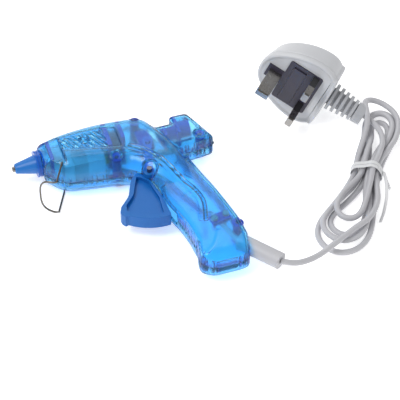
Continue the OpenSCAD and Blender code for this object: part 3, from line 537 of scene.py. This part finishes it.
GRIP_HD = 14.3
BASE_Y = -107.03
LOW_LINE = [(16.5, -9.5), (18.4, -12), (22.4, -16.6), (28, -20.4), (36, -22), (46.4, -23.7), (55.6, -24.9),
            (62.6, -26.6)]
THROAT_LINE = [(62.6, -26.6), (67.6, -29.8), (71.4, -35.4), (73.4, -43), (74.8, -50)]
TOP_LINE = [(97, -29), (95, -19), (92, -10), (88.7, -2.2), (85.3, 3.6), (82.2, 7.9), (78.5, 10.2), (73, 11.7),
            (66, 12.5), (59, 13.0), (52, 13.2), (44, 12.9), (36, 12.2), (28, 10.9), (20.5, 8.9), (16.5, 7.6)]


def outlines():
    barrel = np.vstack([smooth(LOW_LINE)[:-1], smooth(THROAT_LINE), [(98, -50)], smooth(TOP_LINE)])
    front = smooth([grip(18, -GRIP_HD + 1.6), grip(26, -GRIP_HD - 0.1), grip(34, -GRIP_HD),
                    grip_end(41.7, -GRIP_HD + 0.7), grip_end(32, -GRIP_HD + 0.6),
                    grip_end(20, -GRIP_HD - 0.8)])
    toe = smooth([grip_end(20, -GRIP_HD - 0.8), grip_end(11, -GRIP_HD - 4.1),
                  (grip_end(4, -GRIP_HD - 1)[0], BASE_Y + 1.6), (grip_end(3, -GRIP_HD)[0] + 2.4, BASE_Y)],
                  5)[1:]
    heel = smooth([(grip_end(0, 1)[0], BASE_Y), (grip_end(1, 7)[0], BASE_Y + 1.7),
                   grip_end(6.6, GRIP_HD - 4), grip_end(12, GRIP_HD - 1.7)], 5)[:-1]
    back = smooth([grip_end(12, GRIP_HD - 1.7), grip_end(22, GRIP_HD - 0.2), grip_end(34, GRIP_HD + 0.1),
                   grip(34, GRIP_HD), grip(21, GRIP_HD - 0.8), grip(4, GRIP_HD - 1.5)])
    handle = np.vstack([front, toe, heel, back])
    rear = smooth([(84, -19.6), (101, -18.8), (114.4, -17.4), (115.6, -16), (115.8, -14.6), (108.2, 3.6),
                   (106.4, 5.6), (104.2, 6.2), (97.6, 6.2), (96.4, 5.6), (95.8, 4.4), (95.4, 0.8)], 3)
    rear = np.vstack([rear, [(84, 0.8)]])
    return barrel, handle, rear


def near(points, line, closed=True):
    """Distance from each point to a line of points."""
    a = line
    b = np.roll(line, -1, axis=0) if closed else line[1:]
    a = a[: len(b)]
    best = np.full(len(points), 1e9)
    for p, q in zip(a, b):
        v = q - p
        t = np.clip(((points - p) @ v) / max(v @ v, 1e-12), 0, 1)
        best = np.minimum(best, np.hypot(*(points - p - t[:, None] * v).T))
    return best


def inside(points, ring):
    hit = np.zeros(len(points), bool)
    x, y = points.T
    for (ax, ay), (bx, by) in zip(ring, np.roll(ring, -1, axis=0)):
        cross = (ay > y) != (by > y)
        if cross.any():
            hit ^= cross & (x < (bx - ax) * (y - ay) / (by - ay + 1e-12) + ax)
    return hit


def depth_in(points, ring):
    return near(points, ring) * np.where(inside(points, ring), 1, -1)


def rounded(d, w, r):
    """Height of a form of half-width w whose edge is rounded by r, d inside its outline."""
    d = np.minimum(d, r)
    h = w - r + np.sqrt(np.maximum(r * r - (r - d) ** 2, 0))
    return np.where(d < 0, -50.0, h)


def smooth_max(a, b, k=1.6):
    return np.maximum(a, b) + np.maximum(k - np.abs(a - b), 0) ** 2 / (4 * k)


def step(x):
    x = np.clip(x, 0, 1)
    return x * x * (3 - 2 * x)


VENT = [(28, 5.2), (24.6, 3.6), (23, 0), (24.6, -3.6), (28, -5), (36, -6.9), (49, -9.6), (62, -12.4),
        (62, 3.0), (55, 5.5), (44, 5.7), (35, 5.5)]
GROOVES = [
    ([(67, -13), (75, -19), (80, -26), (84, -33), (89, -45), (93.5, -55), (95, -65), (92, -78)], 0.42, 0.6),
    ([(64, -14), (72, -20.5), (77.5, -28), (81.5, -35), (86.2, -46), (90.5, -56), (91.8, -65), (89, -77)],
     0.5, 0.3),
    ([(83, 3), (88, -8), (92, -18), (95, -28), (98, -35)], 0.8, 0.5),
    ([(85, -58), (88, -56), (92, -55)], 0.45, 0.3),
    ([(96, -88), (92, -95), (88, -99), (84, -101.5)], 0.6, 0.4),
    ([(84, -113), (95, -115)], 0.5, 0.2),
    ([(28, -11.4), (42, -12.6), (55, -15.2), (66, -19.6), (75, -26), (79, -34)], 0.5, 0.3),
    ([(23, -19.0), (40, -21.0), (58, -23.2)], 0.5, 0.3),
]
RINGS = [((43, -1), 2.6, 0.5), ((73, -32), 4.6, 0.8), ((109.3, -12.8), 3.4, 0.6), ((57.5, -18.4), 3.0, 0.6),
         ((76, 8.2), 2.6, 0.4)]


def shell_height(points, barrel, handle, rear):
    x, y = points.T
    waist = 13.2 - 3.5 * step((-24 - y) / 24)
    dome = 9.5 - 3.2 * step((-100 - y) / 14)
    h = rounded(depth_in(points, barrel), waist, np.minimum(10.5, waist - 1.5))
    h = smooth_max(h, rounded(depth_in(points, handle), dome, 3.6))
    h = smooth_max(h, rounded(depth_in(points, rear), 9.0, 3.5), 0.8)
    # vent panel with slats across it
    d = depth_in(points, np.array(VENT))
    h -= 0.45 * step((d + 0.3) / 0.6)
    slat = (x + 0.55 * y) % 3.4 - 1.7
    field = step((d - 0.8) / 0.5) * ((x > 27) & (x < 55))
    h -= 0.5 * field * np.exp(-((slat / 0.45) ** 2))
    for line, wide, deep in GROOVES:
        run = smooth(line, 6)
        h -= deep * np.exp(-((near(points, run, False) / wide) ** 2))
    for (cx, cy), r, tall in RINGS:
        q = np.hypot(x - cx, y - cy)
        h += tall * np.exp(-(((q - r) / 0.45) ** 2)) - 0.5 * tall * step((r - 0.5 - q) / 0.4)
    # flat over which the stand's leg swings, and the lug it turns in
    q = np.hypot(x - 26.5, y + 14.5)
    flat = np.where(q < 3, 11.55, 11.1) + 6 * step((x - 28.2) / 1.2) + 6 * step((q - 20.4) / 1.0)
    return np.minimum(h, flat)


def rim_height(points):
    """How far the shell's edge stands off the mid-plane, for the parting line and the openings."""
    x, y = points.T
    z = np.full(len(points), 0.12)

    def bore(t, r, on):
        return np.where(on & (np.abs(t) < r), np.sqrt(np.maximum(r * r - t * t, 0)), 0)

    z = np.maximum(z, bore(y, 6.3, x < 18.5))
    z = np.maximum(z, bore(y, 5.3, (x > 84) & (x < 116) & (y > -5.3)))
    ax, ay = 0.635, -0.773
    along = (x - 111.77) * ax + (y + 97.37) * ay
    across = -(x - 111.77) * ay + (y + 97.37) * ax
    z = np.maximum(z, bore(across, 5.0, along > -3))
    slot = (np.hypot(x - 73, y + 32) < 34.5) & (y < -28.5) & (x < 84)
    return np.maximum(z, np.where(slot, 4.85, 0))


# Rows of points that follow the casing's edge, and the evenly spaced field inside them, in mm
BORDER_OFFSETS = (0.0, 0.05, 0.2, 0.5, 0.95, 1.55, 2.2)
BORDER_PITCH = 0.55
FIELD_MARGIN = 2.5


def shell_mesh(grid):
    """One half shell's outer skin, in gun coordinates with h above the mid-plane."""
    barrel, handle, rear = outlines()
    rings = [barrel, handle, rear]

    def depth(p):
        return np.max([depth_in(p, r) for r in rings], axis=0)

    borders = []
    for k, off in enumerate(BORDER_OFFSETS):
        for r in rings:
            loop = resample(np.vstack([r, r[:1]]), BORDER_PITCH)[:-1]
            if k:
                t = np.roll(loop, -1, axis=0) - np.roll(loop, 1, axis=0)
                n = np.column_stack([-t[:, 1], t[:, 0]]) / np.linalg.norm(t, axis=1)[:, None]
                loop = loop + n * off
                loop = loop[np.abs(depth(loop) - off) < 0.04]
            else:
                others = [o for o in rings if o is not r]
                loop = loop[np.all([~inside(loop, o) | (near(loop, o) < 1e-6) for o in others], axis=0)]
            borders.append(loop)
    xs = np.arange(15, 118, grid)
    ys = np.arange(-109, 15, grid)
    gx, gy = np.meshgrid(xs, ys)
    gx = gx + (np.arange(len(ys)) % 2)[:, None] * grid / 2
    field = np.column_stack([gx.ravel(), gy.ravel()])
    field = field[depth(field) > FIELD_MARGIN]
    cloud = np.vstack(borders + [field])
    outer = geometry.delaunay_2d_cdt([Vector(p) for p in cloud], [], [], 0, 1e-5)
    verts = np.array([tuple(v) for v in outer[0]])
    tris = np.array([f for f in outer[2] if len(f) == 3])
    mid = verts[tris].mean(axis=1)
    tris = tris[depth(mid) > 0.02]
    used = np.unique(tris)
    remap = np.full(len(verts), -1)
    remap[used] = np.arange(len(used))
    verts, tris = verts[used], remap[tris]
    # counter-clockwise, so the skin faces out
    a, b, c = (verts[tris[:, i]] for i in range(3))
    flip = np.cross(b - a, c - a) < 0
    tris[flip] = tris[flip][:, ::-1]
    h = shell_height(verts, barrel, handle, rear)
    d = depth(verts)
    rim = rim_height(verts)
    h = np.where(d < 2.0, np.maximum(h, rim + 0.15), h)
    # the boundary's wall
    count = {}
    for t in tris:
        for i in range(3):
            e = (t[i], t[(i + 1) % 3])
            count[e] = count.get(e, 0) + 1
    edges = [e for e in count if (e[1], e[0]) not in count]
    rim_ids = sorted({v for e in edges for v in e})
    index = {v: len(verts) + i for i, v in enumerate(rim_ids)}
    points = np.vstack([np.column_stack([verts, h]),
                        np.column_stack([verts[rim_ids], np.minimum(rim[rim_ids], h[rim_ids] - 0.05)])])
    faces = [tuple(t) for t in tris] + [(a, index[a], index[b], b) for a, b in edges]
    return points, faces


class CasingSettings(bpy.types.PropertyGroup):
    wall: FloatProperty(name="Wall", description="Thickness of the casing's wall", default=0.0017,
                        unit="LENGTH")
    grid: FloatProperty(name="Mesh pitch", description="Spacing of the skin's points", default=0.00046,
                        unit="LENGTH")


class GLUEGUN_OT_casing(bpy.types.Operator):
    """Builds the two clear shells with their vent slats, grooves, ribs and bosses"""
    bl_idname = "gluegun.casing"
    bl_label = "Casing"

    def execute(self, context):
        s = context.scene.glue_casing
        points, faces = shell_mesh(s.grid / MM)
        clear = casing_plastic()
        for side, name, node in ((1, "Left_Half", "left_casing"), (-1, "Right_Half", "right_casing")):
            p = points * (1, 1, side)
            f = faces if side > 0 else [q[::-1] for q in faces]
            shell = add_mesh(name, place(p), f, None, clear, 50)
            solid = shell.modifiers.new("Wall", "SOLIDIFY")
            solid.thickness = s.wall
            solid.offset = -1
            solid.use_rim = True
            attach(shell, "gun")
            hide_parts(node)
        ribs()
        return {"FINISHED"}


def ribs():
    """Cross ribs and screw bosses inside the shells, in the deeper blue that thick plastic shows."""
    barrel, handle, rear = outlines()
    deep = rib_plastic()
    verts, faces = [], []
    for x0, x1, low, bore_r in ((21.4, 23.4, -8, 6.7), (55.4, 58.0, -8.6, 6.7), (64.1, 66.4, -5.6, 5.4),
                                (90.0, 91.6, -8, 5.4), (98.0, 99.6, -8, 5.4)):
        top = 5.4 if x0 > 88 else 11.4
        ys = np.linspace(low, top, 26)
        mid = np.column_stack([np.full(26, (x0 + x1) / 2), ys])
        out = shell_height(mid, barrel, handle, rear) - 1.9
        inn = np.sqrt(np.maximum(bore_r**2 - ys**2, 0.15**2))
        ok = out > inn + 0.3
        ys, out, inn = ys[ok], out[ok], inn[ok]
        for side in (1, -1):
            base = len(verts)
            for y, o, i in zip(ys, out, inn):
                for x, z in ((x0, i), (x0 + 0.25, i), (x1 - 0.25, i), (x1, i), (x1, o), (x0, o)):
                    verts.append((x, y, side * z))
            n = len(ys)
            for k in range(n - 1):
                for m in range(6):
                    q = (m + 1) % 6
                    faces.append((base + k * 6 + m, base + k * 6 + q, base + (k + 1) * 6 + q,
                                  base + (k + 1) * 6 + m))
            faces.append(tuple(base + m for m in range(6)))
            faces.append(tuple(base + (n - 1) * 6 + m for m in range(6)))
    for cx, cy in ((57.5, -18.4), (76, 8.2), (109.3, -12.8), grip_end(20.5, GRIP_HD - 3)):
        top = float(shell_height(np.array([(cx, cy)]), barrel, handle, rear)[0]) - 2.1
        for side in (1, -1):
            base = len(verts)
            v, f = lathe([(0.15, 1.4), (0.15, 2.6), (0.5, 2.75), (top - 0.6, 2.9), (top, 3.4), (top, 1.4)],
                         (0, 0, 0), (0, 0, side), 32)
            verts.extend((cx + p[0] / MM, cy + p[1] / MM, p[2] / MM) for p in v)
            faces.extend(tuple(base + i for i in q) for q in f)
    inner = add_mesh("Inner_Ribs", place(verts), faces, "gun", deep)
    return inner


# ---------------------------------------------------------------- working parts
class PartsSettings(bpy.types.PropertyGroup):
    turns: IntProperty(name="Spring turns", description="Turns of the return spring", default=22, min=6,
                       max=40)
    wire: FloatProperty(name="Spring wire", description="Diameter of the spring's wire", default=0.0005,
                        unit="LENGTH")


class GLUEGUN_OT_parts(bpy.types.Operator):
    """Gives the working parts their finishes and winds the return spring"""
    bl_idname = "gluegun.parts"
    bl_label = "Working parts"

    def execute(self, context):
        s = context.scene.glue_parts
        nickel = material("Bright Steel", (0.40, 0.38, 0.36), (0.30, 0.29, 0.28), (0.22, 0.36), 1.0, 700,
                          0.05, group="Drawn Streaks")
        dark = material("Dark Steel", (0.20, 0.20, 0.24), (0.13, 0.13, 0.17), (0.3, 0.42), 1.0, 700, 0.05,
                        group="Drawn Streaks")
        finishes = {
            "nozzle": material("Nozzle Metal", (0.30, 0.28, 0.26), (0.20, 0.19, 0.18), (0.24, 0.4), 1.0, 500,
                               0.06),
            "nozzle_sleeve": material("Sleeve Blue", (0.012, 0.19, 0.60), (0.006, 0.14, 0.50), (0.3, 0.42),
                                      grain=900, bump=0.06),
            "front_collar": material("Collar Blue", (0.006, 0.14, 0.60), (0.003, 0.09, 0.48), (0.22, 0.34)),
            "melt_chamber": material("Cast Aluminium", (0.72, 0.73, 0.74), (0.58, 0.59, 0.61), (0.35, 0.55),
                                     1.0, 420, 0.15),
            "ptc_heater": material("Heater Ceramic", (0.72, 0.68, 0.60), (0.60, 0.56, 0.50), (0.5, 0.7),
                                   bump=0.1),
            "heater_terminals": material("Brass Strip", (0.72, 0.50, 0.20), (0.60, 0.40, 0.15), (0.25, 0.4),
                                         1.0, group="Drawn Streaks"),
            "heater_clip": material("Spring Steel", (0.5, 0.51, 0.53), (0.38, 0.39, 0.41), (0.3, 0.45), 1.0,
                                    group="Drawn Streaks"),
            "inlet_seal": material("Silicone Red", (0.40, 0.06, 0.09), (0.32, 0.04, 0.07), (0.4, 0.6)),
            "stick_guide": rib_plastic(),
            "feed_carriage": rib_plastic(),
            "grip_jaw": nickel,
            "jaw_pin": nickel,
            "trigger": trigger_plastic(),
            "trigger_pin": dark,
            "wire_stand": material("Stand Wire", (0.20, 0.18, 0.16), (0.13, 0.12, 0.105), (0.28, 0.42), 1.0,
                                   group="Drawn Streaks"),
            "casing_screws": dark,
            "cord_clamp": rib_plastic(),
            "clamp_screws": nickel,
            "live_lead": material("Lead Brown", (0.16, 0.06, 0.02), (0.12, 0.045, 0.015), (0.35, 0.5)),
            "neutral_lead": material("Lead Blue", (0.02, 0.08, 0.50), (0.015, 0.06, 0.40), (0.35, 0.5)),
            "inner_cord": cord_vinyl(),
            "strain_relief": material("Relief Vinyl", (0.56, 0.56, 0.585), (0.49, 0.49, 0.52), (0.36, 0.5),
                                      grain=1200, bump=0.08),
            "plug_body": plug_plastic(),
            "flex_guard": material("Guard Vinyl", (0.50, 0.51, 0.53), (0.43, 0.44, 0.47), (0.36, 0.5),
                                   grain=1200, bump=0.08),
            "plug_face": material("Face Navy", (0.045, 0.04, 0.065), (0.03, 0.027, 0.047), (0.3, 0.45)),
            "fuse_carrier": material("Carrier Navy", (0.05, 0.045, 0.07), (0.035, 0.03, 0.05), (0.25, 0.38)),
            "earth_pin": nickel,
            "live_pin": nickel,
            "neutral_pin": nickel,
            "pin_sleeves": material("Sleeve Black", (0.02, 0.02, 0.022), (0.012, 0.012, 0.014), (0.35, 0.5)),
            "fuse": material("Fuse Ceramic", (0.75, 0.74, 0.70), (0.66, 0.65, 0.61), (0.3, 0.45)),
        }
        for node, mat in finishes.items():
            coat_node(node, mat)
        self.spring(s)
        return {"FINISHED"}

    def spring(self, s):
        low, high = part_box("return_spring")
        y = (low.y + high.y) / 2
        z = (low.z + high.z) / 2
        a, b = low.x + 0.0018, high.x - 0.0014
        n = s.turns * 16
        t = np.linspace(0, 1, n + 1)
        ang = 2 * math.pi * s.turns * t
        r = 0.0016
        body = np.column_stack([a + (b - a) * t, y + r * np.cos(ang), z + r * np.sin(ang)])
        hook = [(low.x, y, z), (low.x + 0.0006, y + 0.0004, z), (a - 0.0004, y + r * 0.8, z)]
        tail = [(b + 0.0004, y + r * 0.8, z), (high.x - 0.0005, y + 0.0004, z), (high.x, y, z)]
        path = np.vstack([hook, body, tail])
        v, f = tube(path, s.wire / 2, 8)
        wire = material("Spring Wire", (0.66, 0.66, 0.66), (0.54, 0.54, 0.55), (0.2, 0.3), 1.0)
        spring = add_mesh("Return_Spring", v, f, None, wire, 60)
        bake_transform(spring)
        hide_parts("return_spring")


# ---------------------------------------------------------------- the plug's shell
HALF_SIDE = [(-21.5, 1.6), (-21, 5), (-19.2, 9.2), (-15.4, 13.6), (-10, 17.8), (-4, 21), (2, 23), (8, 24),
             (13, 23.9), (17, 22.6), (20.5, 20), (23, 16.5)]


class PlugSettings(bpy.types.PropertyGroup):
    width: FloatProperty(name="Plug width", description="Across the plug's widest part", default=0.0468,
                         unit="LENGTH")
    depth: FloatProperty(name="Plug depth", description="From the face to the back", default=0.021,
                         unit="LENGTH")
    rounding: FloatProperty(name="Back rounding", description="Radius round the back's edge", default=0.0042,
                            unit="LENGTH")


def turn(axis, degrees):
    c, s = math.cos(math.radians(degrees)), math.sin(math.radians(degrees))
    if axis == "x":
        return np.array([(1, 0, 0), (0, c, -s), (0, s, c)])
    return np.array([(c, -s, 0), (s, c, 0), (0, 0, 1)])


def on_plug(points, width):
    """Points on the plug, z out of its face, to the part's frame as the plug leans on its rim."""
    draft, taper = math.radians(7.8), math.radians(21.2)
    side = np.array([(x, -y * width / 48) for x, y in HALF_SIDE])

    def drop(x, y, z):
        return math.cos(draft) * (x * math.sin(taper) - y * math.cos(taper)) - z * math.sin(draft)

    rest = max(drop(side[:, 0], side[:, 1], -4).max(),
               drop(2 + 0.91 * side[:, 0], 0.91 * side[:, 1], -21).max())
    r = turn("z", -40.1) @ turn("x", 82.2) @ turn("z", -21.2)
    at = np.array([171 - ORIGIN[0], 3.3 - ORIGIN[1], rest + 0.02])
    return (np.asarray(points) @ r.T + at) * MM


class GLUEGUN_OT_plug(bpy.types.Operator):
    """Shapes the plug's moulded shell with its softened back and dished face"""
    bl_idname = "gluegun.plug"
    bl_label = "Plug"

    def execute(self, context):
        s = context.scene.glue_plug
        width, depth, soft = s.width / MM, s.depth / MM, s.rounding / MM
        half = np.array([(x, y * width / 48) for x, y in HALF_SIDE])
        loop = np.vstack([half, half[::-1] * (1, -1)])
        loop = resample(np.vstack([smooth(loop, 6, True), loop[:1]]), 1.0)[:-1]
        t = np.roll(loop, -1, axis=0) - np.roll(loop, 1, axis=0)
        out = np.column_stack([t[:, 1], -t[:, 0]]) / np.linalg.norm(t, axis=1)[:, None]
        if ((loop - loop.mean(axis=0)) * out).sum() < 0:
            out = -out
        rows = [(-1.0, 3.4), (-0.9, 2.7), (-0.3, 1.9), (0, 1.4), (-0.02, 1.0), (-0.3, 0.45), (-0.8, 0.12),
                (-1.5, 0), (-3.7, 0), (-3.9, 0.22), (-4.1, 0.22), (-4.3, 0.05)]
        rows += [(-4.3 - (depth - 4.3 - soft) * k / 8, 0.05) for k in range(1, 9)]
        for k in range(1, 9):
            a = k * math.pi / 16
            rows.append((-(depth - soft) - soft * math.sin(a), 0.05 + soft * (1 - math.cos(a))))
        verts = []
        for z, inset in rows:
            back = min(max((-z - 4) / 17, 0), 1)
            ring = (loop - out * inset) * (1 - 0.09 * back) + (2 * back, 0)
            verts.extend((x, y, z) for x, y in ring)
        last = np.array(verts[-len(loop):])
        for shrink, rise in ((0.75, 0.25), (0.4, 0.4), (0.12, 0.45)):
            mid = last.mean(axis=0)
            verts.extend(mid + (p - mid) * (shrink, shrink, 1) - (0, 0, rise) for p in last)
        n, count = len(loop), len(rows) + 3
        faces = [(i * n + k, i * n + (k + 1) % n, (i + 1) * n + (k + 1) % n, (i + 1) * n + k)
                 for i in range(count - 1) for k in range(n)]
        faces.append(tuple(range(n)))
        faces.append(tuple(range((count - 1) * n, count * n)))
        shell = add_mesh("Plug_Cover", on_plug(verts, width), faces, "gun", plug_plastic(), 50)
        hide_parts("plug_body")
        return {"FINISHED"}


# ---------------------------------------------------------------- add-on
class GLUEGUN_PT_panel(bpy.types.Panel):
    bl_label = "Glue Gun"
    bl_idname = "GLUEGUN_PT_panel"
    bl_space_type = "VIEW_3D"
    bl_region_type = "UI"
    bl_category = "Glue Gun"

    def draw(self, context):
        scene = context.scene
        for group, op in ((scene.glue_stage, "gluegun.stage"), (scene.glue_flex, "gluegun.flex"),
                          (scene.glue_plug, "gluegun.plug"), (scene.glue_casing, "gluegun.casing"),
                          (scene.glue_parts, "gluegun.parts")):
            box = self.layout.box()
            for name in group.bl_rna.properties.keys():
                if name not in ("rna_type", "name"):
                    box.prop(group, name)
            box.operator(op)


CLASSES = (StageSettings, FlexSettings, PlugSettings, CasingSettings, PartsSettings, GLUEGUN_OT_stage,
           GLUEGUN_OT_flex, GLUEGUN_OT_plug, GLUEGUN_OT_casing, GLUEGUN_OT_parts, GLUEGUN_PT_panel)
GROUPS = {"glue_stage": StageSettings, "glue_flex": FlexSettings, "glue_plug": PlugSettings,
          "glue_casing": CasingSettings, "glue_parts": PartsSettings}


def register():
    for c in CLASSES:
        bpy.utils.register_class(c)
    for name, group in GROUPS.items():
        setattr(bpy.types.Scene, name, PointerProperty(type=group))


def unregister():
    for name in GROUPS:
        delattr(bpy.types.Scene, name)
    for c in reversed(CLASSES):
        bpy.utils.unregister_class(c)


def plain(bounds):
    return {k: plain(v) if isinstance(v, dict) else [float(x) for x in v] if hasattr(v,
                                                                                     "__len__") else float(v)
            for k,
            v in bounds.items()} if isinstance(bounds, dict) else [[float(x) for x in c] for c in bounds]


def main():
    start = plain(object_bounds())
    register()
    bpy.ops.gluegun.stage()
    bpy.ops.gluegun.plug()
    bpy.ops.gluegun.flex()
    bpy.ops.gluegun.casing()
    bpy.ops.gluegun.parts()
    {"cad": start, "visual": plain(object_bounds())}


if __name__ == "__main__":
    main()
